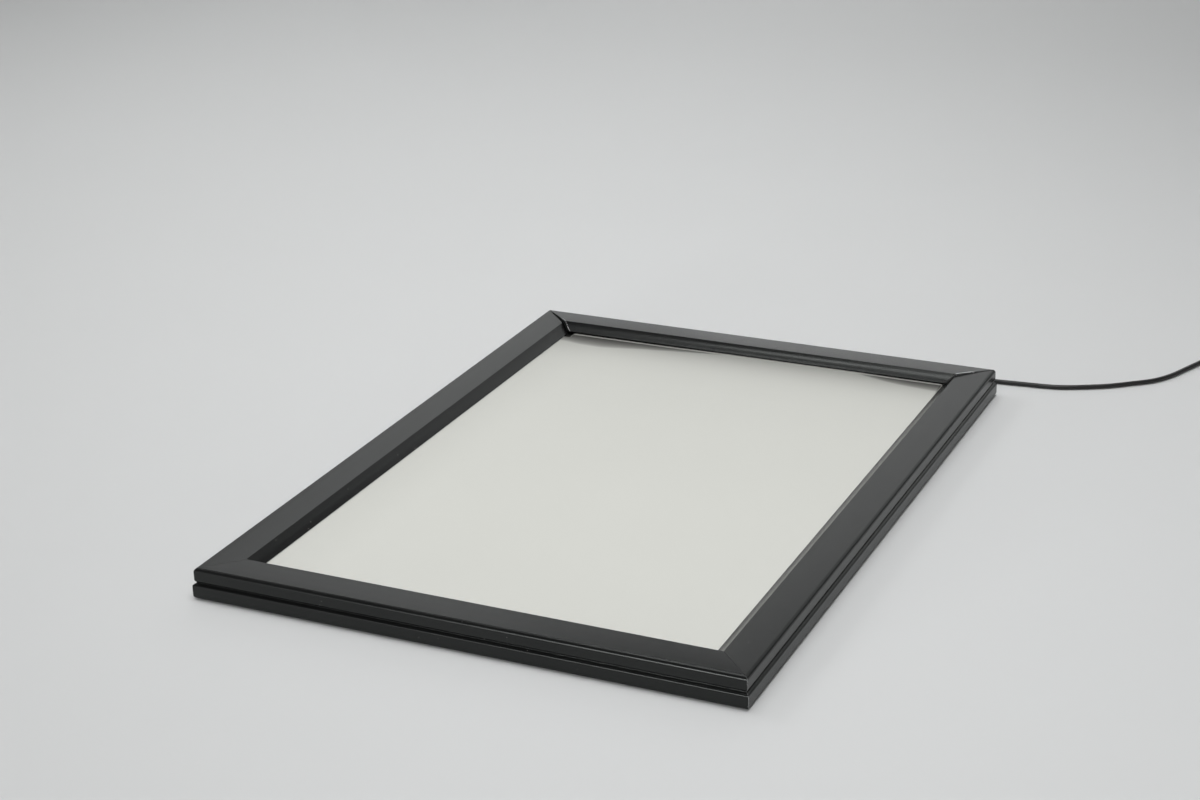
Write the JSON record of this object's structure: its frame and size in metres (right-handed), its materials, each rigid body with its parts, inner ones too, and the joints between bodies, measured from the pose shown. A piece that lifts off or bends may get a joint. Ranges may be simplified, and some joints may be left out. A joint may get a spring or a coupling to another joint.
{
  "type": "led light box",
  "caption": "Slim edge-lit poster light box: satin black frame of hinged snap rails over an off-white lit panel, with a thin low-voltage lead, coiled and tied, that ends in a barrel plug.",
  "frame": {"origin": "centre of the frame's footprint, on its back face", "axes": "+Z out of the lit face, +Y along the long side towards the rail that the lead leaves, +X to the right of the lit face seen from above with +Y up"},
  "size_m": [0.5006, 0.6146, 0.0196],
  "materials": {
    "base_finish": "satin black coated aluminium extrusion",
    "cover_finish": "satin black coated aluminium extrusion",
    "spring_steel": "bright spring steel strip",
    "key_alloy": "raw cast alloy",
    "screw_steel": "plain steel",
    "back_sheet": "matt pale grey sheet",
    "reflector_white": "matt white film",
    "clear_acrylic": "clear with polished edges",
    "opal_plastic": "opal white",
    "cover_plastic": "low-glare sheet, off-white over the opal panel",
    "board_white": "white solder mask",
    "lamp_yellow": "yellow phosphor",
    "wire_red": "red insulation",
    "wire_grey": "dark grey insulation",
    "cord_black": "matt black jacket",
    "grommet_rubber": "black",
    "tie_black": "matt black",
    "plug_black": "moulded black",
    "plug_metal": "nickel plated",
    "plug_core": "black"
  },
  "bodies": {
    "box": {"base_rail_front": "base_finish", "base_rail_right": "base_finish", "base_rail_back": "base_finish", "base_rail_left": "base_finish", "springs_front": "spring_steel", "springs_right": "spring_steel", "springs_back": "spring_steel", "springs_left": "spring_steel", "corner_key_front_right": "key_alloy", "corner_key_back_right": "key_alloy", "corner_key_back_left": "key_alloy", "corner_key_front_left": "key_alloy", "corner_screws": "screw_steel", "back_panel": "back_sheet", "reflector_film": "reflector_white", "light_guide": "clear_acrylic", "diffuser_panel": "opal_plastic", "cover_sheet": "cover_plastic", "led_board_right": "board_white", "led_board_left": "board_white", "leds_right": "lamp_yellow", "leds_left": "lamp_yellow", "jumper_wires": "wire_red", "core_wires": "wire_grey", "cord_inner_end": "cord_black", "cord_grommet": "grommet_rubber", "cord_lead": "cord_black", "cord_coil": "cord_black", "coil_tie": "tie_black", "plug_grip": "plug_black", "plug_sleeve": "plug_metal", "plug_insulator": "plug_core"},
    "cover_front": {"cover_rail_front": "cover_finish"},
    "cover_right": {"cover_rail_right": "cover_finish"},
    "cover_back": {"cover_rail_back": "cover_finish"},
    "cover_left": {"cover_rail_left": "cover_finish"}
  },
  "joints": [
    {"name": "cover_front_hinge", "type": "hinge", "parent": "box", "child": "cover_front", "pos_m": [0, -0.2228, 0.0094], "axis": [1, 0, 0], "range_deg": [0, 64]},
    {"name": "cover_right_hinge", "type": "hinge", "parent": "box", "child": "cover_right", "pos_m": [0.1613, 0, 0.0094], "axis": [0, 1, 0], "range_deg": [0, 64]},
    {"name": "cover_back_hinge", "type": "hinge", "parent": "box", "child": "cover_back", "pos_m": [0, 0.2228, 0.0094], "axis": [-1, 0, 0], "range_deg": [-4, 60]},
    {"name": "cover_left_hinge", "type": "hinge", "parent": "box", "child": "cover_left", "pos_m": [-0.1613, 0, 0.0094], "axis": [0, -1, 0], "range_deg": [0, 64]}
  ]
}
